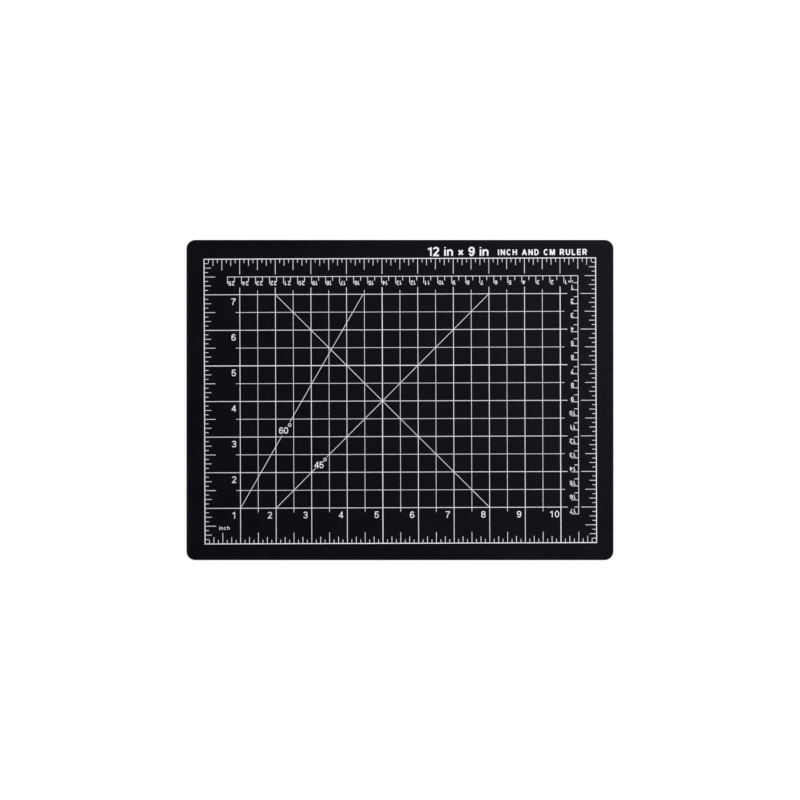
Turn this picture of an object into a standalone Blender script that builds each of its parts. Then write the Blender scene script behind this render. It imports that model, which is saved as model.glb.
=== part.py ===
"""Self-healing cutting mat, 12 x 9 inch: a five-ply PVC laminate with a printed ruler and grid.

Frame: metres, +Z up. The origin is the centre of the underside, and the long side runs along X.
The plies are die-cut in one stroke, so they share one outline. A thin bond line parts each ply from the
next. The print is a film of ink on the top ply. It hangs on the empty "print_datum", which stands at the
lower left corner of the ruler, so the print can sit off-centre and a little askew on the mat, as it does
when sheets are printed first and cut afterwards.
"""

from math import ceil, cos, pi, radians, sin

import bmesh
import bpy
from mathutils import Matrix, Vector
from mathutils.geometry import delaunay_2d_cdt

MM = 0.001
INCH = 0.0254

# Mat outline
MAT_LENGTH = 12 * INCH
MAT_WIDTH = 9 * INCH
CORNER_RADIUS = 0.25 * INCH
CORNER_SEGMENTS = 8

# Laminate, from the underside up: node name, thickness with its bond line, material
BOND_LINE = 0.02 * MM
PLIES = (
    ("bottom_ply", 0.8 * MM, "soft_pvc"),
    ("lower_core_ply", 0.4 * MM, "rigid_core"),
    ("centre_ply", 0.6 * MM, "soft_pvc"),
    ("upper_core_ply", 0.4 * MM, "rigid_core"),
    ("top_ply", 0.8 * MM, "soft_pvc"),
)
MAT_THICKNESS = sum(thickness for _, thickness, _ in PLIES)

# Ink film and how the print lies on the mat
INK_THICKNESS = 0.02 * MM
INK_CLEARANCE = 0.01 * MM
PRINT_SKEW = radians(0.21)
PRINT_SHIFT_X = 0.22 * MM
PRINT_SHIFT_Y = -0.64 * MM

# Inch ruler and grid
RULER_LENGTH_INCHES = 11
RULER_WIDTH_INCHES = 8
TICKS_PER_INCH = 8
BORDER_WIDTH = 0.61 * MM
FIFTH_LINE_WIDTH = 0.58 * MM
INCH_LINE_WIDTH = 0.43 * MM
HALF_LINE_WIDTH = 0.32 * MM
TICK_WIDTH = 0.38 * MM
ANGLE_LINE_WIDTH = 0.35 * MM
EIGHTH_TICK = 2.85 * MM
QUARTER_TICK = 4.85 * MM
HALF_TICK = 7.85 * MM
INCH_STUB = 10.9 * MM
INCH_LINE_OVERRUN = 5 * MM
HALF_LINE_OVERRUN = 3 * MM
GRID_FIRST_INCH = 1
GRID_LAST_INCH_X = RULER_LENGTH_INCHES - 1
GRID_LAST_INCH_Y = RULER_WIDTH_INCHES - 1

# Centimetre scale: an L that runs from its corner to the left and down
CM = 10 * MM
CM_CORNER = (10.5 * INCH, 7.5 * INCH)
CM_SPAN_X = 25
CM_SPAN_Y = 17
CM_TICK = 5 * MM
HALF_CM_TICK = 3 * MM
CM_LINE_WIDTH = 0.4 * MM

# Angle lines start on a crossing of the grid; a gap in the line holds the angle's label
RISING_45_START = (2 * INCH, 1 * INCH)
FALLING_45_START = (2 * INCH, 7 * INCH)
RISING_60_START = (1 * INCH, 1 * INCH)
ANGLE_LINE_RISE = 6 * INCH
LABEL_45_GAP = (1.12 * INCH, 1.435 * INCH)
LABEL_60_GAP = (2.04 * INCH, 2.415 * INCH)

# Numerals: a pen of one width drawn along centrelines, as fractions of the numeral's height.
# SIDE, UPPER and LOWER are the bowls' half widths and half heights, and WAIST is where two bowls meet.
NUMERAL_HEIGHT = 4.7 * MM
NUMERAL_WIDTH = 0.66
PEN = 0.125
ARC_STEP = radians(30)
ONE_STEM_X = 0.39
MIDDLE = NUMERAL_WIDTH / 2
SIDE = (NUMERAL_WIDTH - PEN) / 2
WAIST = 0.53
UPPER = (1 - PEN / 2 - WAIST) / 2
LOWER = (WAIST - PEN / 2) / 2
NUMERAL_GAP_X = 0.116 * INCH
NUMERAL_DROP_Y = 0.104 * INCH
LABEL_ADVANCE = 0.134 * INCH
TEN_ADVANCE = 0.145 * INCH
TEN_RIGHT_GAP = 0.048 * INCH
LABEL_60_CORNER = (2.092 * INCH, 3.089 * INCH)
LABEL_45_CORNER = (3.083 * INCH, 2.118 * INCH)
DEGREE_RING_OFFSET = (0.298 * INCH, 0.245 * INCH)
DEGREE_RING_RADIUS = 1.0 * MM
DEGREE_RING_PEN = 0.46 * MM

COLOURS = {
    "soft_pvc": ((0.0075, 0.0072, 0.0095), 0.55),
    "rigid_core": ((0.020, 0.020, 0.024), 0.45),
    "ink": ((0.84, 0.83, 0.885), 0.5),
}


# ---------------------------------------------------------------- general helpers

def clear_scene():
    """Remove every object, so the script gives the same model in any open file."""
    for item in list(bpy.data.objects):
        bpy.data.objects.remove(item, do_unlink=True)


def make_material(name):
    """Principled BSDF material with the colour and roughness of COLOURS."""
    colour, roughness = COLOURS[name]
    material = bpy.data.materials.new(name)
    material.use_nodes = True
    shader = material.node_tree.nodes["Principled BSDF"]
    shader.inputs["Base Color"].default_value = (*colour, 1.0)
    shader.inputs["Roughness"].default_value = roughness
    shader.inputs["Metallic"].default_value = 0.0
    material.diffuse_color = (*colour, 1.0)
    return material


def add_object(name, mesh, material, parent=None, location=(0.0, 0.0, 0.0)):
    """Link a mesh into the scene as one named object."""
    mesh.materials.append(material)
    item = bpy.data.objects.new(name, mesh)
    item.location = location
    item.parent = parent
    bpy.context.scene.collection.objects.link(item)
    return item


def extruded_mesh(name, flat, height):
    """Turn a bmesh of flat faces at z = 0 into a closed solid of the given height."""
    bmesh.ops.recalc_face_normals(flat, faces=flat.faces[:])
    raised = bmesh.ops.extrude_face_region(flat, geom=flat.faces[:])
    top = [part for part in raised["geom"] if isinstance(part, bmesh.types.BMVert)]
    bmesh.ops.translate(flat, verts=top, vec=(0.0, 0.0, height))
    bmesh.ops.recalc_face_normals(flat, faces=flat.faces[:])
    mesh = bpy.data.meshes.new(name)
    flat.to_mesh(mesh)
    flat.free()
    return mesh


# ---------------------------------------------------------------- laminate

def mat_outline():
    """Corner points of the rounded rectangle, anticlockwise from the lower right corner's arc."""
    half_x = MAT_LENGTH / 2 - CORNER_RADIUS
    half_y = MAT_WIDTH / 2 - CORNER_RADIUS
    centres = ((half_x, -half_y), (half_x, half_y), (-half_x, half_y), (-half_x, -half_y))
    points = []
    for corner, (x, y) in enumerate(centres):
        for step in range(CORNER_SEGMENTS + 1):
            angle = (corner - 1 + step / CORNER_SEGMENTS) * pi / 2
            points.append((x + CORNER_RADIUS * cos(angle), y + CORNER_RADIUS * sin(angle)))
    return points


def make_plies(materials):
    """Stack the plies from the underside up. Each but the top one gives up a bond line above it."""
    outline = mat_outline()
    base = 0.0
    for name, thickness, material in PLIES:
        flat = bmesh.new()
        flat.faces.new([flat.verts.new((x, y, 0.0)) for x, y in outline])
        is_top = base + thickness > MAT_THICKNESS - BOND_LINE
        height = thickness if is_top else thickness - BOND_LINE
        mesh = extruded_mesh(name, flat, height)
        mesh.shade_smooth()
        mesh.set_sharp_from_angle(angle=radians(40))
        add_object(name, mesh, materials[material], location=(0.0, 0.0, base))
        base += thickness


# ---------------------------------------------------------------- strips and their union

def ribbon(points, width, closed=False):
    """Quads that follow a centreline with a constant width, mitred where the line bends."""
    path = [Vector(point) for point in points]
    count = len(path)
    left = []
    right = []
    for index, point in enumerate(path):
        first = index == 0 and not closed
        last = index == count - 1 and not closed
        way_in = way_out = None
        if not first:
            way_in = (point - path[index - 1]).normalized()
        if not last:
            way_out = (path[(index + 1) % count] - point).normalized()
        way_in = way_in or way_out
        way_out = way_out or way_in
        side = Vector((-(way_in.y + way_out.y), way_in.x + way_out.x)).normalized()
        reach = width / 2 / side.dot(Vector((-way_in.y, way_in.x)))
        left.append(point + side * reach)
        right.append(point - side * reach)
    links = range(count if closed else count - 1)
    return [(left[i], right[i], right[(i + 1) % count], left[(i + 1) % count]) for i in links]


def line(start, end, width):
    """One straight strip."""
    return ribbon((start, end), width)


def union_mesh(name, polygons, thickness):
    """Merge overlapping polygons into one flat region, and give it a thickness."""
    corners = []
    faces = []
    for polygon in polygons:
        faces.append(list(range(len(corners), len(corners) + len(polygon))))
        corners.extend(polygon)
    merge_distance = 1e-7
    result = delaunay_2d_cdt(corners, [], faces, 0, merge_distance, True)
    points, triangles, sources = result[0], result[2], result[5]
    flat = bmesh.new()
    verts = [flat.verts.new((point.x, point.y, 0.0)) for point in points]
    for triangle, source in zip(triangles, sources):
        if source:
            flat.faces.new([verts[index] for index in triangle])
    loose = [vert for vert in flat.verts if not vert.link_faces]
    bmesh.ops.delete(flat, geom=loose, context="VERTS")
    straight = radians(0.2)
    bmesh.ops.dissolve_limit(flat, angle_limit=straight, verts=flat.verts[:], edges=flat.edges[:])
    bmesh.ops.triangulate(flat, faces=flat.faces[:])
    return extruded_mesh(name, flat, thickness)


# ---------------------------------------------------------------- inch ruler and grid

def border():
    """The four sides of the ruler's frame; each runs on by half its width to square the corners."""
    right = RULER_LENGTH_INCHES * INCH
    top = RULER_WIDTH_INCHES * INCH
    over = BORDER_WIDTH / 2
    strips = []
    for y in (0.0, top):
        strips += line((-over, y), (right + over, y), BORDER_WIDTH)
    for x in (0.0, right):
        strips += line((x, -over), (x, top + over), BORDER_WIDTH)
    return strips


def tick_length(step):
    """Length of the tick at a number of eighths, or None where a grid line stands for it."""
    if step % TICKS_PER_INCH == 0:
        return None
    if step % (TICKS_PER_INCH // 2) == 0:
        return HALF_TICK
    if step % (TICKS_PER_INCH // 4) == 0:
        return QUARTER_TICK
    return EIGHTH_TICK


def edge_ticks():
    """Eighth, quarter and half inch ticks on all four sides; whole inch stubs at the top and right."""
    right = RULER_LENGTH_INCHES * INCH
    top = RULER_WIDTH_INCHES * INCH
    strips = []
    for step in range(1, RULER_LENGTH_INCHES * TICKS_PER_INCH):
        x = step * INCH / TICKS_PER_INCH
        length = tick_length(step)
        if length:
            strips += line((x, 0.0), (x, length), TICK_WIDTH)
        strips += line((x, top), (x, top - (length or INCH_STUB)), TICK_WIDTH)
    for step in range(1, RULER_WIDTH_INCHES * TICKS_PER_INCH):
        y = step * INCH / TICKS_PER_INCH
        length = tick_length(step)
        if length:
            strips += line((0.0, y), (length, y), TICK_WIDTH)
        strips += line((right, y), (right - (length or INCH_STUB), y), TICK_WIDTH)
    return strips


def inch_line_width(inch):
    """Every fifth inch line is heavier than the rest."""
    return FIFTH_LINE_WIDTH if inch % 5 == 0 else INCH_LINE_WIDTH


def grid_lines():
    """Inch lines from the border on, and half inch lines that stay inside the grid's own square."""
    first = GRID_FIRST_INCH * INCH
    last_x = GRID_LAST_INCH_X * INCH
    last_y = GRID_LAST_INCH_Y * INCH
    strips = []
    for inch in range(GRID_FIRST_INCH, GRID_LAST_INCH_X + 1):
        x = inch * INCH
        strips += line((x, 0.0), (x, last_y + INCH_LINE_OVERRUN), inch_line_width(inch))
        if inch < GRID_LAST_INCH_X:
            middle = x + INCH / 2
            start = (middle, first - HALF_LINE_OVERRUN)
            strips += line(start, (middle, last_y + HALF_LINE_OVERRUN), HALF_LINE_WIDTH)
    for inch in range(GRID_FIRST_INCH, GRID_LAST_INCH_Y + 1):
        y = inch * INCH
        strips += line((0.0, y), (last_x + INCH_LINE_OVERRUN, y), inch_line_width(inch))
        if inch < GRID_LAST_INCH_Y:
            middle = y + INCH / 2
            start = (first - HALF_LINE_OVERRUN, middle)
            strips += line(start, (last_x + HALF_LINE_OVERRUN, middle), HALF_LINE_WIDTH)
    return strips


def angle_line(start, angle, rise, gap=None):
    """A slanted line that climbs by rise; gap is the stretch left out, as heights above the start."""
    def at(height):
        run = height * cos(angle) / sin(angle)
        return (start[0] + run, start[1] + height)

    if gap is None:
        return line(start, at(rise), ANGLE_LINE_WIDTH)
    return line(start, at(gap[0]), ANGLE_LINE_WIDTH) + line(at(gap[1]), at(rise), ANGLE_LINE_WIDTH)


def angle_lines():
    """Two lines at 45 degrees, that cross, and one at 60 degrees."""
    strips = angle_line(RISING_45_START, radians(45), ANGLE_LINE_RISE, LABEL_45_GAP)
    strips += angle_line(FALLING_45_START, radians(-45), -ANGLE_LINE_RISE)
    strips += angle_line(RISING_60_START, radians(60), ANGLE_LINE_RISE, LABEL_60_GAP)
    return strips


def cm_scale():
    """Baseline L of the centimetre scale with a tick every half centimetre, longer at whole ones."""
    corner_x, corner_y = CM_CORNER
    over = CM_LINE_WIDTH / 2
    end_x = corner_x - CM_SPAN_X * CM
    end_y = corner_y - CM_SPAN_Y * CM
    strips = line((corner_x + over, corner_y), (end_x - over, corner_y), CM_LINE_WIDTH)
    strips += line((corner_x, corner_y + over), (corner_x, end_y - over), CM_LINE_WIDTH)
    for half in range(1, 2 * CM_SPAN_X + 1):
        x = corner_x - half * CM / 2
        length = HALF_CM_TICK if half % 2 else CM_TICK
        strips += line((x, corner_y), (x, corner_y - length), CM_LINE_WIDTH)
    for half in range(1, 2 * CM_SPAN_Y + 1):
        y = corner_y - half * CM / 2
        length = HALF_CM_TICK if half % 2 else CM_TICK
        strips += line((corner_x, y), (corner_x - length, y), CM_LINE_WIDTH)
    return strips


# ---------------------------------------------------------------- numerals

def arc(centre, radii, start, end):
    """Points on an elliptical arc, from the start angle to the end angle in degrees."""
    steps = max(2, ceil(abs(radians(end - start)) / ARC_STEP))
    angles = [radians(start + (end - start) * step / steps) for step in range(steps + 1)]
    return [(centre[0] + radii[0] * cos(a), centre[1] + radii[1] * sin(a)) for a in angles]


def loop(centre, radii):
    """Points on a closed ellipse."""
    return arc(centre, radii, 90, 450)[:-1]


def turned(strokes):
    """Strokes turned by half a turn in the numeral's box, as a nine is a six turned."""
    return [([(NUMERAL_WIDTH - x, 1 - y) for x, y in points], closed) for points, closed in strokes]


def zero():
    return [(loop((MIDDLE, 0.5), (SIDE, (1 - PEN) / 2)), True)]


def one():
    flag = arc((0.0, 1.0), (ONE_STEM_X, 0.24), -80, -10)
    return [([(ONE_STEM_X, 0.0), (ONE_STEM_X, 1.0)], False), (flag, False)]


def two():
    bowl = arc((MIDDLE, 1 - PEN / 2 - 0.22), (SIDE, 0.22), 165, -25)
    foot = [(0.0, PEN / 2), (NUMERAL_WIDTH, PEN / 2)]
    return [(bowl + [(PEN * 0.75, PEN * 0.6)], False), (foot, False)]


def three():
    top = arc((MIDDLE, WAIST + UPPER), (SIDE * 0.93, UPPER), 165, -90)
    bottom = arc((MIDDLE, WAIST - LOWER), (SIDE, LOWER), 90, -165)
    bar = [(MIDDLE - PEN * 0.6, WAIST), (MIDDLE + PEN * 0.4, WAIST)]
    return [(top, False), (bottom, False), (bar, False)]


def four():
    stem_x = NUMERAL_WIDTH * 0.72
    bar_y = 0.29
    slant = [(PEN * 0.4, bar_y), (stem_x, 1 - PEN * 0.5)]
    bar = [(0.0, bar_y), (NUMERAL_WIDTH, bar_y)]
    return [([(stem_x, 0.0), (stem_x, 1.0)], False), (bar, False), (slant, False)]


def five():
    radius = 0.265
    bowl = arc((MIDDLE, PEN / 2 + radius), (SIDE, radius), 150, -165)
    bar = [(PEN * 0.75, 1 - PEN / 2), (NUMERAL_WIDTH * 0.94, 1 - PEN / 2)]
    stem = [(PEN * 1.25, 1.0 - PEN * 0.1), (PEN * 0.72, 0.42)]
    return [(bar, False), (stem, False), (bowl, False)]


def six():
    radius = 0.245
    back = arc((MIDDLE, 0.5), (SIDE, (1 - PEN) / 2), 195, 35)
    return [(loop((MIDDLE, PEN / 2 + radius), (SIDE, radius)), True), (back, False)]


def seven():
    bar = [(0.0, 1 - PEN / 2), (NUMERAL_WIDTH, 1 - PEN / 2)]
    bend = arc((NUMERAL_WIDTH * 1.25, 0.0), (NUMERAL_WIDTH * 0.9, 0.86), 180, 115)
    return [(bar, False), (bend + [(NUMERAL_WIDTH - PEN * 0.5, 1 - PEN * 0.5)], False)]


def eight():
    top = loop((MIDDLE, WAIST + UPPER), (SIDE * 0.9, UPPER))
    bottom = loop((MIDDLE, WAIST - LOWER), (SIDE, LOWER))
    return [(top, True), (bottom, True)]


def nine():
    return turned(six())


NUMERALS = (zero, one, two, three, four, five, six, seven, eight, nine)


def numeral_strips(digit, corner, height):
    """Strips of one digit whose box has its lower left corner at corner."""
    strips = []
    for points, closed in NUMERALS[digit]():
        placed = [(corner[0] + x * height, corner[1] + y * height) for x, y in points]
        strips += ribbon(placed, PEN * height, closed)
    return strips


def inch_numerals():
    """Node name, digit and lower left corner of each numeral of the inch ruler."""
    width = NUMERAL_WIDTH * NUMERAL_HEIGHT
    row_y = GRID_FIRST_INCH * INCH - NUMERAL_DROP_Y - NUMERAL_HEIGHT
    found = []
    for inch in range(GRID_FIRST_INCH, GRID_LAST_INCH_X):
        x = inch * INCH - NUMERAL_GAP_X - width
        found.append((f"inch_numeral_across_{inch}", inch, (x, row_y)))
    zero_x = GRID_LAST_INCH_X * INCH - TEN_RIGHT_GAP - width
    found.append(("inch_numeral_across_10_one", 1, (zero_x - TEN_ADVANCE, row_y)))
    found.append(("inch_numeral_across_10_zero", 0, (zero_x, row_y)))
    column_x = GRID_FIRST_INCH * INCH - NUMERAL_GAP_X - width
    for inch in range(GRID_FIRST_INCH + 1, GRID_LAST_INCH_Y + 1):
        y = inch * INCH - NUMERAL_DROP_Y - NUMERAL_HEIGHT
        found.append((f"inch_numeral_up_{inch}", inch, (column_x, y)))
    return found


def angle_label_numerals():
    """Node name, digit and lower left corner of the two digits of each angle label."""
    found = []
    for angle, (x, y) in ((45, LABEL_45_CORNER), (60, LABEL_60_CORNER)):
        found.append((f"angle_{angle}_first_digit", angle // 10, (x, y)))
        found.append((f"angle_{angle}_second_digit", angle % 10, (x + LABEL_ADVANCE, y)))
    return found


def degree_ring(corner):
    """The degree sign of the angle label whose lower left corner is given."""
    centre = (corner[0] + DEGREE_RING_OFFSET[0], corner[1] + DEGREE_RING_OFFSET[1])
    return ribbon(loop(centre, (DEGREE_RING_RADIUS, DEGREE_RING_RADIUS)), DEGREE_RING_PEN, True)


# ---------------------------------------------------------------- print

def make_print_datum():
    """Empty at the ruler's lower left corner, turned and shifted as the print is on the mat."""
    datum = bpy.data.objects.new("print_datum", None)
    half = Vector((RULER_LENGTH_INCHES * INCH / 2, RULER_WIDTH_INCHES * INCH / 2, 0.0))
    centre = Vector((PRINT_SHIFT_X, PRINT_SHIFT_Y, MAT_THICKNESS + INK_CLEARANCE))
    datum.location = centre - Matrix.Rotation(PRINT_SKEW, 3, "Z") @ half
    datum.rotation_euler = (0.0, 0.0, PRINT_SKEW)
    bpy.context.scene.collection.objects.link(datum)
    return datum


def make_print(materials):
    """Every island of ink on the top ply, each a node of its own."""
    datum = make_print_datum()
    films = [
        ("inch_grid_print", border() + edge_ticks() + grid_lines() + angle_lines()),
        ("cm_scale_print", cm_scale()),
        ("angle_45_degree_sign", degree_ring(LABEL_45_CORNER)),
        ("angle_60_degree_sign", degree_ring(LABEL_60_CORNER)),
    ]
    for name, digit, corner in inch_numerals() + angle_label_numerals():
        films.append((name, numeral_strips(digit, corner, NUMERAL_HEIGHT)))
    for name, strips in films:
        mesh = union_mesh(name, strips, INK_THICKNESS)
        add_object(name, mesh, materials["ink"], parent=datum)


def main():
    clear_scene()
    materials = {name: make_material(name) for name in COLOURS}
    make_plies(materials)
    make_print(materials)
    bpy.context.view_layer.update()


main()
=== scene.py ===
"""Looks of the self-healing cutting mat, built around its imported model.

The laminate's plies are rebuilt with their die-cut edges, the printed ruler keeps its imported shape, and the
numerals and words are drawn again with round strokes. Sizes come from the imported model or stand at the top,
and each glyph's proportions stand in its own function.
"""

from math import ceil, cos, pi, radians, sin

import bmesh
import bpy
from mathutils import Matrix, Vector
from mathutils.geometry import delaunay_2d_cdt


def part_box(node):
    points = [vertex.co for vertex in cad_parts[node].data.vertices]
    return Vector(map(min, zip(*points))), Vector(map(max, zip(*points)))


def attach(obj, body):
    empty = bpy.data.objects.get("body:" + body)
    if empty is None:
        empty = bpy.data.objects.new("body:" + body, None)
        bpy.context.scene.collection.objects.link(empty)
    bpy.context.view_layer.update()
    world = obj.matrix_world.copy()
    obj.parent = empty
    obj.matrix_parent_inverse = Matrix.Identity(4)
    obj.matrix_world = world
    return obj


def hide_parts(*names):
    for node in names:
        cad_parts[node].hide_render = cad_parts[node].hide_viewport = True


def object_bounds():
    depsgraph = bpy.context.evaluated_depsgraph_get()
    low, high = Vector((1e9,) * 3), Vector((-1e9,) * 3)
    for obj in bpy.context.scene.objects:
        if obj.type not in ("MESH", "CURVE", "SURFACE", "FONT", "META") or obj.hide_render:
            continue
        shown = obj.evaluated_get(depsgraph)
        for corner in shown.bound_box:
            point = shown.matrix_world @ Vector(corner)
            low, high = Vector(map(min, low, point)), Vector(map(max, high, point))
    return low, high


MM = 0.001
INCH = 0.0254

# Laminate, from the underside up
PLIES = ("bottom_ply", "lower_core_ply", "centre_ply", "upper_core_ply", "top_ply")
CORNER_RADIUS = 0.25 * INCH
CORNER_SEGMENTS = 24
TOP_ROLL = 0.32 * MM
UNDERSIDE_BURR = 0.12 * MM
SOFT_BULGE = 0.05 * MM
CORE_RECESS = 0.03 * MM
PLY_EDGE_ROUND = 0.05 * MM
ROUND_STEPS = 6
BULGE_STEPS = 4
SUPPORT_RING = 0.3 * MM
SMOOTH_ANGLE = radians(60)
FACE_MATERIAL = 0
EDGE_MATERIAL = 1

# Ink films
BORDER_WIDTH = 0.61 * MM
MERGE_DISTANCE = 1e-7
STRAIGHT_ANGLE = radians(0.2)
ARC_STEP = radians(9)

# Glyphs, drawn in a box one unit high
PEN = 0.125
NUMERAL_WIDTH = 0.66
X_HEIGHT = 0.72
ONE_STEM_X = 0.39
ONE_BEARING = 0.1
ONE_MIDDLE = 0.46
GLYPH_GAP = 0.2

# Numerals and words: places are measured along the ruler's axes from its lower left corner. A pen or a gap
# without a unit is a share of the glyphs' height.
NUMERAL_HEIGHT = 4.7 * MM
DEGREE_RING_PEN = 0.46 * MM
CM = 10 * MM
CM_CORNER = Vector((10.5 * INCH, 7.5 * INCH))
CM_SPAN_X = 25
CM_SPAN_Y = 17
CM_NUMERAL_HEIGHT = 2.95 * MM
CM_NUMERAL_PEN = 0.162
CM_NUMERAL_TICK_GAP = 0.58 * MM
CM_ONE_EXTRA_GAP = 0.38 * MM
CM_NUMERAL_DROP = 0.124 * INCH
CM_SIDE_NUMERAL_INSET = 0.164 * INCH
CM_SIDE_NUMERAL_LIFT = 0.36 * MM
CM_SIDE_NUMERAL_STEP = 9.98 * MM
CM_SIDE_ADVANCE = 2.2 * MM
INCH_WORD_HEIGHT = 2.7 * MM
INCH_WORD_PEN = 0.135
INCH_WORD_GAP = 0.25
INCH_WORD_START = (0.401 * INCH, 0.395 * INCH)
CM_WORD_HEIGHT = 1.95 * MM
CM_WORD_PEN = 0.17
CM_WORD_GAP = 0.12
CM_WORD_START = (10.36 * INCH, 7.367 * INCH)
SIZE_MARKING_HEIGHT = 6.2 * MM
SIZE_MARKING_PEN = 0.2
SIZE_MARKING_START = (6.255 * INCH, 8.07 * INCH)
RULER_MARKING_HEIGHT = 4.05 * MM
RULER_MARKING_PEN = 0.22
RULER_MARKING_GAP = 0.35
RULER_MARKING_END = (10.75 * INCH, 8.085 * INCH)

# Relief of the surfaces
STIPPLE_CELL = 0.6 * MM
STIPPLE_SOFTNESS = 0.6
STIPPLE_DEPTH = 0.026 * MM
GRAIN_CELL = 0.18 * MM
GRAIN_DEPTH = 0.008 * MM
SWELL_SIZE = 35 * MM
SWELL_DEPTH = 0.05 * MM
DRAG_SIZE = 0.35 * MM
DRAG_DEPTH = 0.03 * MM
DRAG_STRETCH = (1.0, 1.0, 0.08)
CRUMB_SIZE = 0.12 * MM
CRUMB_DEPTH = 0.006 * MM

# Most values of a noise lie between these two
NOISE_LOW = 0.3
NOISE_HIGH = 0.7

# Plies: the darkest and the lightest colour, and the least and the greatest roughness
SKIN_COLOURS = ((0.0007, 0.0006, 0.0028), (0.0013, 0.0012, 0.0036))
SKIN_ROUGHNESS = (0.44, 0.52)
UNDERSIDE_COLOURS = ((0.004, 0.004, 0.005), (0.006, 0.006, 0.007))
UNDERSIDE_ROUGHNESS = (0.6, 0.7)
SOFT_CUT_COLOURS = ((0.008, 0.008, 0.010), (0.016, 0.016, 0.018))
SOFT_CUT_ROUGHNESS = (0.5, 0.7)
CORE_CUT_COLOURS = ((0.030, 0.030, 0.034), (0.050, 0.050, 0.055))
CORE_CUT_ROUGHNESS = (0.35, 0.5)
PVC_SPECULAR = 0.11
CUT_SPECULAR = 0.3
CLOUD_SIZE = 40 * MM
HAZE_SIZE = 9 * MM

# Ink: the sizes and colours of its clouds and thin spots, and the share of the skin's relief that it shows
INK_MOTTLE = 1.3 * MM
INK_THIN_SPOT = 0.25 * MM
INK_THIN_RARITY = 1.0
INK_THIN_STRENGTH = 0.3
INK_SHADE = (0.817, 0.81, 0.865)
INK_HIGHLIGHT = (0.885, 0.877, 0.935)
INK_THIN_COLOUR = (0.42, 0.415, 0.45)
INK_ROUGHNESS = (0.42, 0.55)
INK_SPECULAR = 0.3
INK_LEVELLING = 0.6

# Studio
VIEW_WIDTH = 570.85 * MM
LENS = 85
SENSOR = 36
LAMP_DISTANCE = 3.0
LAMP_SIZE = 2.0
FLOOR_SIZE = 30
FLOOR_GAP = 0.05 * MM
FLOOR_COLOUR = (0.3, 0.3, 0.3)
FLOOR_ROUGHNESS = 0.9
FLOOR_GLOW = 0.86
FLOOR_GLOW_COLOUR = (1.0, 1.0, 1.0)
WALL_COLOUR = (0.55, 0.56, 0.58)
CEILING_COLOUR = (0.03, 0.03, 0.033)

# Sines of the elevations where the walls' colour ends and the ceiling's begins
WALL_TOP = 0.05
CEILING_START = 0.55

# Softboxes: name, azimuth (0 is +X, anticlockwise) and elevation in degrees, and light level
SOFTBOXES = (
    ("key_right", 25, 47, 0.80),
    ("fill_left", 190, 25, 0.075),
    ("fill_back", 110, 25, 0.065),
    ("fill_front", 280, 25, 0.065),
)


# ---------------------------------------------------------------- shader helpers

class Nodes:
    """A material's node tree with short ways to add and link nodes."""

    def __init__(self, name):
        self.material = bpy.data.materials.new(name)
        self.material.use_nodes = True
        self.tree = self.material.node_tree
        self.shader = self.tree.nodes["Principled BSDF"]

    def add(self, kind, inputs=None, **settings):
        """Add a node, set its properties, and fill or link its inputs."""
        node = self.tree.nodes.new(kind)
        for key, value in settings.items():
            setattr(node, key, value)
        for key, value in (inputs or {}).items():
            self.feed(node.inputs[key], value)
        return node

    def feed(self, socket, value):
        """Link a socket to another node's output, or set its number."""
        if isinstance(value, bpy.types.NodeSocket):
            self.tree.links.new(value, socket)
        else:
            socket.default_value = value

    def place(self, scale=(1.0, 1.0, 1.0)):
        """Object coordinates, stretched by scale."""
        coords = self.add("ShaderNodeTexCoord").outputs["Object"]
        return self.add("ShaderNodeMapping", {"Vector": coords, "Scale": scale}).outputs["Vector"]

    def noise(self, vector, scale, detail=2.0, roughness=0.5):
        """Fractal noise from 0 to 1."""
        inputs = {"Vector": vector, "Scale": scale, "Detail": detail, "Roughness": roughness}
        return self.add("ShaderNodeTexNoise", inputs).outputs["Fac"]

    def cells(self, vector, scale, smoothness):
        """Distance to the centre of soft-edged cells."""
        inputs = {"Vector": vector, "Scale": scale, "Smoothness": smoothness}
        return self.add("ShaderNodeTexVoronoi", inputs, feature="SMOOTH_F1").outputs["Distance"]

    def spread(self, value, low, high):
        """Map a noise, which varies around one half, to the range from low to high."""
        inputs = {
            "Value": value,
            "From Min": NOISE_LOW,
            "From Max": NOISE_HIGH,
            "To Min": low,
            "To Max": high,
        }
        return self.add("ShaderNodeMapRange", inputs).outputs["Result"]

    def tint(self, factor, under, over):
        """Mix of a colour, given as four numbers or another node's output, and a plain one."""
        node = self.add("ShaderNodeMix", data_type="RGBA")
        self.feed(node.inputs["Factor"], factor)
        self.feed(node.inputs["A"], under)
        self.feed(node.inputs["B"], (*over, 1.0))
        return node.outputs["Result"]

    def blend(self, factor, first, second):
        """Mix of two plain colours."""
        return self.tint(factor, (*first, 1.0), second)

    def relief(self, height, depth, below=None):
        """Bump of a height map, in metres of depth."""
        inputs = {"Height": height, "Distance": depth, "Strength": 1.0}
        if below is not None:
            inputs["Normal"] = below
        return self.add("ShaderNodeBump", inputs).outputs["Normal"]


# ---------------------------------------------------------------- materials

def stippled_normal(nodes, vector, strength=1.0):
    """Calendered PVC: a broad swell, a fine stipple of soft cells, and a finer grain on top."""
    swell = nodes.relief(nodes.noise(vector, 1 / SWELL_SIZE, detail=1.0), SWELL_DEPTH)
    stipple = nodes.cells(vector, 1 / STIPPLE_CELL, STIPPLE_SOFTNESS)
    normal = nodes.relief(stipple, STIPPLE_DEPTH * strength, swell)
    grain = nodes.noise(vector, 1 / GRAIN_CELL)
    return nodes.relief(grain, GRAIN_DEPTH * strength, normal)


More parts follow.
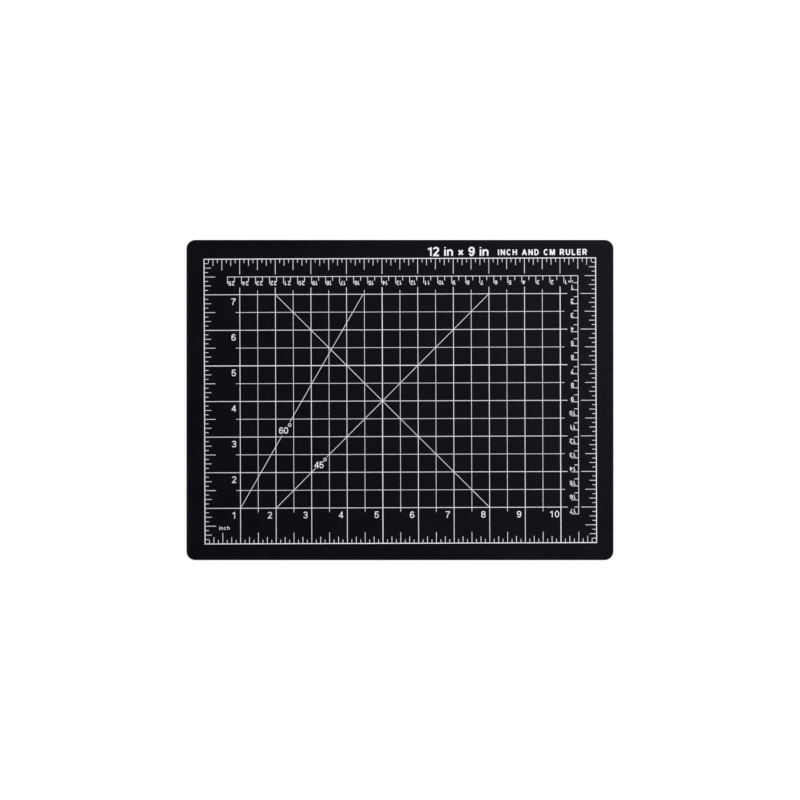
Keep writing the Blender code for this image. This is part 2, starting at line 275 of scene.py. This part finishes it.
def soft_pvc(name, colours, roughness):
    """Soft black PVC skin with a faint cloudiness."""
    nodes = Nodes(name)
    vector = nodes.place()
    clouds = nodes.noise(vector, 1 / CLOUD_SIZE, detail=4.0, roughness=0.6)
    nodes.feed(nodes.shader.inputs["Base Color"], nodes.blend(nodes.spread(clouds, 0.0, 1.0), *colours))
    haze = nodes.noise(vector, 1 / HAZE_SIZE, detail=3.0)
    nodes.feed(nodes.shader.inputs["Roughness"], nodes.spread(haze, *roughness))
    nodes.feed(nodes.shader.inputs["Specular IOR Level"], PVC_SPECULAR)
    nodes.feed(nodes.shader.inputs["Normal"], stippled_normal(nodes, vector))
    return nodes.material


def cut_edge(name, colours, roughness):
    """Die-cut face of a ply: fine drag lines that run through the thickness."""
    nodes = Nodes(name)
    drag = nodes.noise(nodes.place(DRAG_STRETCH), 1 / DRAG_SIZE, detail=3.0, roughness=0.65)
    crumb = nodes.noise(nodes.place(), 1 / CRUMB_SIZE)
    nodes.feed(nodes.shader.inputs["Base Color"], nodes.blend(nodes.spread(drag, 0.0, 1.0), *colours))
    nodes.feed(nodes.shader.inputs["Roughness"], nodes.spread(crumb, *roughness))
    nodes.feed(nodes.shader.inputs["Specular IOR Level"], CUT_SPECULAR)
    normal = nodes.relief(drag, DRAG_DEPTH)
    nodes.feed(nodes.shader.inputs["Normal"], nodes.relief(crumb, CRUMB_DEPTH, normal))
    return nodes.material


def white_ink():
    """Screen-printed ink: opaque white, a little cloudy, with small thin spots."""
    nodes = Nodes("white_ink")
    vector = nodes.place()
    mottle = nodes.noise(vector, 1 / INK_MOTTLE, detail=3.0, roughness=0.6)
    body = nodes.blend(nodes.spread(mottle, 0.0, 1.0), INK_SHADE, INK_HIGHLIGHT)
    thin = nodes.noise(vector, 1 / INK_THIN_SPOT)
    thin_share = nodes.spread(thin, -INK_THIN_RARITY, INK_THIN_STRENGTH)
    colour = nodes.tint(thin_share, body, INK_THIN_COLOUR)
    nodes.feed(nodes.shader.inputs["Base Color"], colour)
    nodes.feed(nodes.shader.inputs["Roughness"], nodes.spread(mottle, *INK_ROUGHNESS))
    nodes.feed(nodes.shader.inputs["Specular IOR Level"], INK_SPECULAR)
    nodes.feed(nodes.shader.inputs["Normal"], stippled_normal(nodes, vector, INK_LEVELLING))
    return nodes.material


# ---------------------------------------------------------------- mesh helpers

def new_piece(name, mesh, slot, *materials):
    """One visible piece of the object, riding on its only body."""
    for material in materials:
        mesh.materials.append(material)
    piece = bpy.data.objects.new(name, mesh)
    bpy.context.scene.collection.objects.link(piece)
    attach(piece, "root")
    return piece


def finished_mesh(name, shape, smooth_below=None):
    """Turn a bmesh into a mesh with its faces pointing out."""
    bmesh.ops.recalc_face_normals(shape, faces=shape.faces[:])
    mesh = bpy.data.meshes.new(name)
    shape.to_mesh(mesh)
    shape.free()
    if smooth_below is not None:
        mesh.shade_smooth()
        mesh.set_sharp_from_angle(angle=smooth_below)
    return mesh


# ---------------------------------------------------------------- laminate

def rounded_ring(low, high, inset):
    """Points of the mat's outline, pulled in by inset."""
    radius = CORNER_RADIUS - inset
    left = low.x + CORNER_RADIUS
    right = high.x - CORNER_RADIUS
    front = low.y + CORNER_RADIUS
    back = high.y - CORNER_RADIUS
    corners = ((right, front), (right, back), (left, back), (left, front))
    points = []
    for corner, (x, y) in enumerate(corners):
        for step in range(CORNER_SEGMENTS + 1):
            angle = (corner - 1 + step / CORNER_SEGMENTS) * pi / 2
            points.append((x + radius * cos(angle), y + radius * sin(angle)))
    return points


def quarter_round(radius, edge_z, rising):
    """Profile points (inset, z) of a rounded edge, from the side face to the flat face or back."""
    points = []
    for step in range(ROUND_STEPS + 1):
        turn = step / ROUND_STEPS * pi / 2
        inset = radius * (1 - cos(turn))
        drop = radius * (1 - sin(turn))
        points.append((inset, edge_z - drop if rising else edge_z + drop))
    return points if rising else points[::-1]


def ply_profile(low_z, high_z, bulge, top_round, bottom_round):
    """Profile of a ply's edge from the underside up.

    A bulge moves the middle of the edge outwards. A negative one is a recess: it sets the whole edge back,
    and its middle twice as far.
    """
    lower = quarter_round(bottom_round, low_z, rising=False)
    upper = quarter_round(top_round, high_z, rising=True)
    first_z = low_z + bottom_round
    last_z = high_z - top_round
    middle = []
    for step in range(1, BULGE_STEPS):
        share = step / BULGE_STEPS
        middle.append((-bulge * sin(pi * share), first_z + (last_z - first_z) * share))
    profile = lower + middle + upper
    return [(inset + max(-bulge, 0.0), z) for inset, z in profile]


def ply_mesh(name, low, high, profile):
    """Loft the outline through an edge profile and close it with two flat faces.

    A narrow ring of each flat face, SUPPORT_RING wide, belongs to the edge and has its material.
    """
    shape = bmesh.new()
    levels = [(profile[0][0] + SUPPORT_RING, profile[0][1])] + profile
    levels.append((profile[-1][0] + SUPPORT_RING, profile[-1][1]))
    rings = []
    for inset, z in levels:
        rings.append([shape.verts.new((x, y, z)) for x, y in rounded_ring(low, high, inset)])
    count = len(rings[0])
    for below, above in zip(rings, rings[1:]):
        for index in range(count):
            following = (index + 1) % count
            quad = (below[index], below[following], above[following], above[index])
            shape.faces.new(quad).material_index = EDGE_MATERIAL
    for ring in (rings[0], rings[-1]):
        shape.faces.new(ring).material_index = FACE_MATERIAL
    return finished_mesh(name, shape, smooth_below=SMOOTH_ANGLE)


def build_plies():
    """Replace each packed ply by one with a die-cut edge."""
    skin = soft_pvc("soft_pvc_skin", SKIN_COLOURS, SKIN_ROUGHNESS)
    underside = soft_pvc("soft_pvc_underside", UNDERSIDE_COLOURS, UNDERSIDE_ROUGHNESS)
    soft_edge = cut_edge("soft_pvc_cut", SOFT_CUT_COLOURS, SOFT_CUT_ROUGHNESS)
    core_edge = cut_edge("rigid_core_cut", CORE_CUT_COLOURS, CORE_CUT_ROUGHNESS)
    for node in PLIES:
        low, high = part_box(node)
        is_core = "core" in node
        bulge = -CORE_RECESS if is_core else SOFT_BULGE
        top_round = TOP_ROLL if node == "top_ply" else PLY_EDGE_ROUND
        bottom_round = UNDERSIDE_BURR if node == "bottom_ply" else PLY_EDGE_ROUND
        profile = ply_profile(low.z, high.z, bulge, top_round, bottom_round)
        mesh = ply_mesh(node + "_cut", low, high, profile)
        face = underside if node == "bottom_ply" else skin
        slot = "rigid_core" if is_core else "soft_pvc"
        piece = new_piece(node + "_cut", mesh, slot, face, core_edge if is_core else soft_edge)
        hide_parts(node)


# ---------------------------------------------------------------- strokes and ink films

def ribbon(points, width, closed=False):
    """Quads that follow a centreline with a constant width, mitred where the line bends."""
    path = [Vector(point) for point in points]
    count = len(path)
    left = []
    right = []
    for index, point in enumerate(path):
        way_in = way_out = None
        if index > 0 or closed:
            way_in = (point - path[index - 1]).normalized()
        if index < count - 1 or closed:
            way_out = (path[(index + 1) % count] - point).normalized()
        way_in = way_in or way_out
        way_out = way_out or way_in
        side = Vector((-(way_in.y + way_out.y), way_in.x + way_out.x)).normalized()
        reach = width / 2 / side.dot(Vector((-way_in.y, way_in.x)))
        left.append(point + side * reach)
        right.append(point - side * reach)
    links = range(count if closed else count - 1)
    return [(left[i], right[i], right[(i + 1) % count], left[(i + 1) % count]) for i in links]


def film_mesh(name, strips, low_z, high_z):
    """Merge overlapping strips into one flat region, and give it the ink's thickness."""
    corners = []
    faces = []
    for strip in strips:
        faces.append(list(range(len(corners), len(corners) + len(strip))))
        corners.extend(strip)
    points, _, triangles, _, _, sources = delaunay_2d_cdt(corners, [], faces, 0, MERGE_DISTANCE, True)
    shape = bmesh.new()
    verts = [shape.verts.new((point.x, point.y, low_z)) for point in points]
    for triangle, source in zip(triangles, sources):
        if source:
            shape.faces.new([verts[index] for index in triangle])
    loose = [vert for vert in shape.verts if not vert.link_faces]
    bmesh.ops.delete(shape, geom=loose, context="VERTS")
    bmesh.ops.dissolve_limit(shape, angle_limit=STRAIGHT_ANGLE, verts=shape.verts[:], edges=shape.edges[:])
    bmesh.ops.triangulate(shape, faces=shape.faces[:])
    raised = bmesh.ops.extrude_face_region(shape, geom=shape.faces[:])
    top = [part for part in raised["geom"] if isinstance(part, bmesh.types.BMVert)]
    bmesh.ops.translate(shape, verts=top, vec=(0.0, 0.0, high_z - low_z))
    return finished_mesh(name, shape)


def arc(centre, radii, start, end):
    """Points on an elliptical arc, from the start angle to the end angle in degrees."""
    steps = max(2, ceil(abs(radians(end - start)) / ARC_STEP))
    angles = [radians(start + (end - start) * step / steps) for step in range(steps + 1)]
    return [(centre[0] + radii[0] * cos(a), centre[1] + radii[1] * sin(a)) for a in angles]


def loop(centre, radii):
    """Points on a closed ellipse."""
    return arc(centre, radii, 90, 450)[:-1]


# ---------------------------------------------------------------- glyphs

# Each glyph gives its strokes as (points, closed) in a box one unit high, and its width. Centrelines are laid
# out for strokes as wide as PEN, and a heavier pen goes a little past the box. The numerals share these
# measures: the radius across, the middle, the waist's height, and the radii of the bowls above and below it.

SIDE = (NUMERAL_WIDTH - PEN) / 2
MIDDLE = NUMERAL_WIDTH / 2
WAIST = 0.53
UPPER = (1 - PEN / 2 - WAIST) / 2
LOWER = (WAIST - PEN / 2) / 2


def open_strokes(*paths):
    """Strokes with two ends along the given centrelines."""
    return [(path, False) for path in paths]


def zero():
    return [(loop((MIDDLE, 0.5), (SIDE, (1 - PEN) / 2)), True)], NUMERAL_WIDTH


def one():
    stem_x = ONE_BEARING + ONE_STEM_X
    flag_drop = 0.24
    flag = arc((ONE_BEARING, 1.0), (ONE_STEM_X, flag_drop), -80, -10)
    stem = [(stem_x, 0.0), (stem_x, 1.0)]
    return open_strokes(stem, flag), stem_x + PEN / 2


def two():
    rise = 0.22
    bowl = arc((MIDDLE, 1 - PEN / 2 - rise), (SIDE, rise), 165, -25)
    heel = (PEN * 0.75, PEN * 0.6)
    foot = [(0.0, PEN / 2), (NUMERAL_WIDTH, PEN / 2)]
    return open_strokes(bowl + [heel], foot), NUMERAL_WIDTH


def three():
    upper_side = SIDE * 0.93
    top = arc((MIDDLE, WAIST + UPPER), (upper_side, UPPER), 165, -90)
    bottom = arc((MIDDLE, WAIST - LOWER), (SIDE, LOWER), 90, -165)
    bar = [(MIDDLE - PEN * 0.6, WAIST), (MIDDLE + PEN * 0.4, WAIST)]
    return open_strokes(top, bottom, bar), NUMERAL_WIDTH


def four():
    stem_x = NUMERAL_WIDTH * 0.72
    bar_y = 0.29
    stem = [(stem_x, 0.0), (stem_x, 1.0)]
    bar = [(0.0, bar_y), (NUMERAL_WIDTH, bar_y)]
    slant = [(PEN * 0.4, bar_y), (stem_x, 1 - PEN * 0.5)]
    return open_strokes(stem, bar, slant), NUMERAL_WIDTH


def five():
    radius = 0.265
    bar_end = NUMERAL_WIDTH * 0.94
    stem_foot_y = 0.42
    bowl = arc((MIDDLE, PEN / 2 + radius), (SIDE, radius), 150, -165)
    bar = [(PEN * 0.75, 1 - PEN / 2), (bar_end, 1 - PEN / 2)]
    stem = [(PEN * 1.25, 1.0 - PEN * 0.1), (PEN * 0.72, stem_foot_y)]
    return open_strokes(bar, stem, bowl), NUMERAL_WIDTH


def six():
    radius = 0.245
    back = arc((MIDDLE, 0.5), (SIDE, (1 - PEN) / 2), 195, 35)
    bowl = loop((MIDDLE, PEN / 2 + radius), (SIDE, radius))
    return [(bowl, True), (back, False)], NUMERAL_WIDTH


def seven():
    bend_centre = (NUMERAL_WIDTH * 1.25, 0.0)
    bend_radii = (NUMERAL_WIDTH * 0.9, 0.86)
    tip = (NUMERAL_WIDTH - PEN * 0.5, 1 - PEN * 0.5)
    bar = [(0.0, 1 - PEN / 2), (NUMERAL_WIDTH, 1 - PEN / 2)]
    slant = arc(bend_centre, bend_radii, 180, 115) + [tip]
    return open_strokes(bar, slant), NUMERAL_WIDTH


def eight():
    upper_side = SIDE * 0.9
    top = loop((MIDDLE, WAIST + UPPER), (upper_side, UPPER))
    bottom = loop((MIDDLE, WAIST - LOWER), (SIDE, LOWER))
    return [(top, True), (bottom, True)], NUMERAL_WIDTH


def nine():
    """A six turned by half a turn."""
    strokes, width = six()
    return [([(width - x, 1 - y) for x, y in points], closed) for points, closed in strokes], width


# Small letters

def low_stem(top=X_HEIGHT):
    """Upright stroke at the left of a small letter."""
    return [(PEN / 2, 0.0), (PEN / 2, top)]


def arch(left, span):
    """One shoulder of an n or m with its leg."""
    rise = 0.2
    centre = (left + span / 2, X_HEIGHT - PEN / 2 - rise)
    return arc(centre, (span / 2, rise), 170, 0) + [(left + span, 0.0)]


def letter_n(stem_top=X_HEIGHT):
    width = 0.62
    return open_strokes(low_stem(stem_top), arch(PEN / 2, width - PEN)), width


def letter_h():
    return letter_n(stem_top=1.0)


def letter_m():
    span = 0.39
    return open_strokes(low_stem(), arch(PEN / 2, span), arch(PEN / 2 + span, span)), 2 * span + PEN


def letter_i():
    dot = [(PEN / 2, 1 - PEN), (PEN / 2, 1.0)]
    return open_strokes(low_stem(), dot), PEN


def letter_c():
    width = 0.6
    bowl = arc((width / 2, X_HEIGHT / 2), ((width - PEN) / 2, (X_HEIGHT - PEN) / 2), 40, 320)
    return open_strokes(bowl), width


# Capitals: most share a width, and their outer strokes run along its two sides

CAPITAL_WIDTH = 0.7
LEFT_STEM = [(PEN / 2, 0.0), (PEN / 2, 1.0)]
RIGHT_STEM = [(CAPITAL_WIDTH - PEN / 2, 0.0), (CAPITAL_WIDTH - PEN / 2, 1.0)]


def capital_bar(height, end):
    """Level stroke from the left stem on."""
    return [(PEN / 2, height), (end, height)]


def capital_bowl(low, high):
    """Bowl on the right of a stem, between two heights of its centreline."""
    radius = (high - low) / 2
    turn = arc((CAPITAL_WIDTH - PEN / 2 - radius, low + radius), (radius, radius), 90, -90)
    return [(PEN / 2, high)] + turn + [(PEN / 2, low)]


def capital_a():
    width = 0.8
    bar_y = 0.32
    apex = (width / 2, 1.0)
    left = [(PEN / 2, 0.0), apex]
    right = [(width - PEN / 2, 0.0), apex]
    bar = [(width / 4, bar_y), (width * 3 / 4, bar_y)]
    return open_strokes(left, right, bar), width


def capital_c():
    bowl = arc((CAPITAL_WIDTH / 2, 0.5), ((CAPITAL_WIDTH - PEN) / 2, (1 - PEN) / 2), 40, 320)
    return open_strokes(bowl), CAPITAL_WIDTH


def capital_d():
    return open_strokes(LEFT_STEM, capital_bowl(PEN / 2, 1 - PEN / 2)), CAPITAL_WIDTH


def capital_e():
    width = CAPITAL_WIDTH * 0.88
    bars = [capital_bar(height, width) for height in (PEN / 2, 0.5, 1 - PEN / 2)]
    return open_strokes(LEFT_STEM, *bars), width


def capital_h():
    bar_y = 0.52
    bar = capital_bar(bar_y, CAPITAL_WIDTH - PEN / 2)
    return open_strokes(LEFT_STEM, RIGHT_STEM, bar), CAPITAL_WIDTH


def capital_i():
    return open_strokes(LEFT_STEM), PEN


def capital_l():
    width = CAPITAL_WIDTH * 0.82
    return open_strokes(LEFT_STEM, capital_bar(PEN / 2, width)), width


def capital_m():
    width = 0.85
    foot = (width / 2, 0.0)
    falling = [(PEN, 1.0), foot]
    rising = [(width - PEN, 1.0), foot]
    right = [(width - PEN / 2, 0.0), (width - PEN / 2, 1.0)]
    return open_strokes(falling, rising, LEFT_STEM, right), width


def capital_n():
    slant = [(PEN / 2, 1 - PEN / 4), (CAPITAL_WIDTH - PEN / 2, PEN / 4)]
    return open_strokes(LEFT_STEM, RIGHT_STEM, slant), CAPITAL_WIDTH


def capital_r():
    waist = 0.45
    bowl = capital_bowl(waist, 1 - PEN / 2)
    leg = [(CAPITAL_WIDTH / 2, waist), (CAPITAL_WIDTH - PEN / 2, 0.0)]
    return open_strokes(LEFT_STEM, bowl, leg), CAPITAL_WIDTH


def capital_u():
    radius = (CAPITAL_WIDTH - PEN) / 2
    bend = arc((CAPITAL_WIDTH / 2, PEN / 2 + radius), (radius, radius), 180, 360)
    return open_strokes([(PEN / 2, 1.0)] + bend + [(CAPITAL_WIDTH - PEN / 2, 1.0)]), CAPITAL_WIDTH


def times_sign():
    width = 0.56
    low = 0.12
    high = 0.64
    left = PEN * 0.4
    right = width - PEN * 0.4
    return open_strokes([(left, low), (right, high)], [(left, high), (right, low)]), width


def space():
    width = 0.24
    return [], width


GLYPHS = {
    "0": zero, "1": one, "2": two, "3": three, "4": four,
    "5": five, "6": six, "7": seven, "8": eight, "9": nine,
    "n": letter_n, "h": letter_h, "m": letter_m, "i": letter_i, "c": letter_c,
    "A": capital_a, "C": capital_c, "D": capital_d, "E": capital_e, "H": capital_h, "I": capital_i,
    "L": capital_l, "M": capital_m, "N": capital_n, "R": capital_r, "U": capital_u,
    "x": times_sign, " ": space,
}


def glyph_strips(character, corner, height, pen):
    """Strips of one glyph whose box has its lower left corner at corner, and the glyph's width."""
    strokes, width = GLYPHS[character]()
    strips = []
    for points, closed in strokes:
        placed = [(corner[0] + x * height, corner[1] + y * height) for x, y in points]
        strips += ribbon(placed, pen * height, closed)
    return strips, width * height


def text_strips(text, height, gap, pen=PEN):
    """Strips of a line of glyphs that starts at the origin, and the line's length."""
    strips = []
    x = 0.0
    for character in text:
        found, width = glyph_strips(character, (x, 0.0), height, pen)
        strips += found
        x += width + gap * height
    return strips, x - gap * height


# ---------------------------------------------------------------- where the print lies

class PrintPlane:
    """The ruler's own axes on the mat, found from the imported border's outer corners."""

    def __init__(self, grid_object):
        corners = [vert.co for vert in grid_object.data.vertices]
        lower_left = min(corners, key=lambda co: co.x + co.y).to_2d()
        lower_right = max(corners, key=lambda co: co.x - co.y).to_2d()
        self.across = (lower_right - lower_left).normalized()
        self.up = Vector((-self.across.y, self.across.x))
        self.origin = lower_left + (self.across + self.up) * BORDER_WIDTH / 2
        self.low_z = min(co.z for co in corners)
        self.high_z = max(co.z for co in corners)

    def onto_mat(self, strips, start, turned=False):
        """Put strips drawn at the origin at a point of the ruler; turned reads from the far side."""
        way = -1 if turned else 1
        placed = []
        for strip in strips:
            points = []
            for corner in strip:
                u = start[0] + way * corner[0]
                v = start[1] + way * corner[1]
                points.append(self.origin + self.across * u + self.up * v)
            placed.append(points)
        return placed

    def film(self, name, strips, ink, replaced=()):
        """An ink film from strips that are already on the mat."""
        piece = new_piece(name, film_mesh(name, strips, self.low_z, self.high_z), "ink", ink)
        if replaced:
            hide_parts(*replaced)


def centre_on(strips, node):
    """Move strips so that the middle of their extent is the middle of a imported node."""
    low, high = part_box(node)
    xs = [corner[0] for strip in strips for corner in strip]
    ys = [corner[1] for strip in strips for corner in strip]
    shift = Vector(((low.x + high.x - min(xs) - max(xs)) / 2, (low.y + high.y - min(ys) - max(ys)) / 2))
    return [[Vector(corner) + shift for corner in strip] for strip in strips]


# ---------------------------------------------------------------- rulers, numerals and words

def redraw_numerals(plane, ink):
    """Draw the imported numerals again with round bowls, each in its node's place."""
    digits = {f"inch_numeral_across_{inch}": inch for inch in range(1, 10)}
    digits.update({f"inch_numeral_up_{inch}": inch for inch in range(2, 8)})
    digits.update({"inch_numeral_across_10_one": 1, "inch_numeral_across_10_zero": 0})
    digits.update({"angle_45_first_digit": 4, "angle_45_second_digit": 5})
    digits.update({"angle_60_first_digit": 6, "angle_60_second_digit": 0})
    for node, digit in digits.items():
        strips, _ = text_strips(str(digit), NUMERAL_HEIGHT, 0.0)
        strips = centre_on(plane.onto_mat(strips, (0.0, 0.0)), node)
        plane.film(node + "_ink", strips, ink, [node])


def redraw_degree_signs(plane, ink):
    """Draw the rings of the two degree signs again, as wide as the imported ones."""
    for node in ("angle_45_degree_sign", "angle_60_degree_sign"):
        low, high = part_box(node)
        middle = (low + high) / 2
        radius = (high.x - low.x - DEGREE_RING_PEN) / 2
        ring = ribbon(loop((middle.x, middle.y), (radius, radius)), DEGREE_RING_PEN, closed=True)
        plane.film(node + "_ink", ring, ink, [node])


def spaced_digits(text):
    """Strips of a number of the side scale: its digits stand at even steps, centred on the origin."""
    strips = []
    for index, character in enumerate(text):
        middle = ONE_MIDDLE if character == "1" else MIDDLE
        step = index - (len(text) - 1) / 2
        x = step * CM_SIDE_ADVANCE - middle * CM_NUMERAL_HEIGHT
        strips += glyph_strips(character, (x, 0.0), CM_NUMERAL_HEIGHT, CM_NUMERAL_PEN)[0]
    return strips


def cm_numerals(plane, ink):
    """The centimetre scale's numerals, which read from the mat's far side."""
    top = []
    for number in range(1, CM_SPAN_X + 1):
        strips, length = text_strips(str(number), CM_NUMERAL_HEIGHT, GLYPH_GAP, CM_NUMERAL_PEN)
        gap = CM_NUMERAL_TICK_GAP
        if number % 10 == 1:
            gap += CM_ONE_EXTRA_GAP
        u = CM_CORNER.x - number * CM + gap + length
        v = CM_CORNER.y - CM_NUMERAL_DROP
        top += plane.onto_mat(strips, (u, v), turned=True)
    plane.film("cm_numerals_top", top, ink)
    side = []
    for number in range(1, CM_SPAN_Y + 1):
        u = CM_CORNER.x - CM_SIDE_NUMERAL_INSET
        v = CM_CORNER.y - number * CM_SIDE_NUMERAL_STEP + CM_SIDE_NUMERAL_LIFT + CM_NUMERAL_HEIGHT
        side += plane.onto_mat(spaced_digits(str(number)), (u, v), turned=True)
    plane.film("cm_numerals_side", side, ink)


def ink_rulers(packed_nodes, ink):
    """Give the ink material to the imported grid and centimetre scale, which keep their shapes."""
    for name in ("inch_grid_print", "cm_scale_print"):
        materials = packed_nodes[name].data.materials
        materials.clear()
        materials.append(ink)


def words(plane, ink):
    """Unit words, and two plain markings in the top margin."""
    strips, _ = text_strips("inch", INCH_WORD_HEIGHT, INCH_WORD_GAP, INCH_WORD_PEN)
    plane.film("inch_word", plane.onto_mat(strips, INCH_WORD_START), ink)
    strips, _ = text_strips("cm", CM_WORD_HEIGHT, CM_WORD_GAP, CM_WORD_PEN)
    plane.film("cm_word", plane.onto_mat(strips, CM_WORD_START, turned=True), ink)
    size, _ = text_strips("12 in x 9 in", SIZE_MARKING_HEIGHT, GLYPH_GAP, SIZE_MARKING_PEN)
    plane.film("size_marking", plane.onto_mat(size, SIZE_MARKING_START), ink)
    text = "INCH AND CM RULER"
    ruler, length = text_strips(text, RULER_MARKING_HEIGHT, RULER_MARKING_GAP, RULER_MARKING_PEN)
    start = (RULER_MARKING_END[0] - length, RULER_MARKING_END[1])
    plane.film("ruler_marking", plane.onto_mat(ruler, start), ink)


# ---------------------------------------------------------------- studio

def build_floor():
    """Plain pale floor just below the mat."""
    shape = bmesh.new()
    bmesh.ops.create_grid(shape, x_segments=1, y_segments=1, size=FLOOR_SIZE / 2)
    bmesh.ops.translate(shape, verts=shape.verts[:], vec=(0.0, 0.0, -FLOOR_GAP))
    floor = bpy.data.objects.new("floor", finished_mesh("floor", shape))
    nodes = Nodes("pale_floor")
    nodes.feed(nodes.shader.inputs["Base Color"], (*FLOOR_COLOUR, 1.0))
    nodes.feed(nodes.shader.inputs["Roughness"], FLOOR_ROUGHNESS)
    nodes.feed(nodes.shader.inputs["Specular IOR Level"], 0.0)
    nodes.feed(nodes.shader.inputs["Emission Color"], (*FLOOR_GLOW_COLOUR, 1.0))
    nodes.feed(nodes.shader.inputs["Emission Strength"], FLOOR_GLOW)
    floor.data.materials.append(nodes.material)
    bpy.context.scene.collection.objects.link(floor)


def add_softbox(name, azimuth, elevation, light_level):
    """Round lamp aimed at the mat's middle.

    The light level is the radiance of a white sheet that lies on the floor under this lamp alone.
    """
    a = radians(azimuth)
    e = radians(elevation)
    towards_light = Vector((cos(a) * cos(e), sin(a) * cos(e), sin(e)))
    light = bpy.data.lights.new(name, "AREA")
    light.shape = "DISK"
    light.size = LAMP_SIZE
    light.energy = light_level * (pi * LAMP_DISTANCE) ** 2 / sin(e)
    item = bpy.data.objects.new(name, light)
    item.rotation_mode = "QUATERNION"
    item.rotation_quaternion = towards_light.to_track_quat("Z", "Y")
    item.location = towards_light * LAMP_DISTANCE
    bpy.context.scene.collection.objects.link(item)


def build_world():
    """Studio walls: pale at the horizon, dark overhead."""
    world = bpy.data.worlds.new("studio")
    bpy.context.scene.world = world
    world.use_nodes = True
    tree = world.node_tree
    background = tree.nodes["Background"]
    coords = tree.nodes.new("ShaderNodeTexCoord")
    split = tree.nodes.new("ShaderNodeSeparateXYZ")
    ramp = tree.nodes.new("ShaderNodeValToRGB")
    walls, ceiling = ramp.color_ramp.elements
    walls.position = WALL_TOP
    walls.color = (*WALL_COLOUR, 1.0)
    ceiling.position = CEILING_START
    ceiling.color = (*CEILING_COLOUR, 1.0)
    tree.links.new(coords.outputs["Generated"], split.inputs["Vector"])
    tree.links.new(split.outputs["Z"], ramp.inputs["Fac"])
    tree.links.new(ramp.outputs["Color"], background.inputs["Color"])


def build_camera(target_z):
    """Camera straight above the mat."""
    data = bpy.data.cameras.new("camera")
    data.type = "PERSP"
    data.lens = LENS
    data.sensor_width = SENSOR
    camera = bpy.data.objects.new("camera", data)
    camera.location = (0.0, 0.0, target_z + VIEW_WIDTH * LENS / SENSOR)
    bpy.context.scene.collection.objects.link(camera)
    bpy.context.scene.camera = camera


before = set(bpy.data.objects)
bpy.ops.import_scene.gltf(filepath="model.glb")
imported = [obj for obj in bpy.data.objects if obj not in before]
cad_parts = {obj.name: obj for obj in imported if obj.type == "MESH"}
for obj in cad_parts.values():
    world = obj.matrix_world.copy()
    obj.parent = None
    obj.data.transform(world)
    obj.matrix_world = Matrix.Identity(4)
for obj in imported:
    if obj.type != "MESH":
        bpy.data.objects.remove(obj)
cad_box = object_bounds()

build_camera(cad_box[1].z)
build_world()
build_floor()
for name, azimuth, elevation, light_level in SOFTBOXES:
    add_softbox(name, azimuth, elevation, light_level)

build_plies()
ink = white_ink()
plane = PrintPlane(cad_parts["inch_grid_print"])
ink_rulers(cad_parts, ink)
redraw_numerals(plane, ink)
redraw_degree_signs(plane, ink)
cm_numerals(plane, ink)
words(plane, ink)

scene = bpy.context.scene
scene.view_settings.view_transform = "Standard"
scene.view_settings.look = "None"
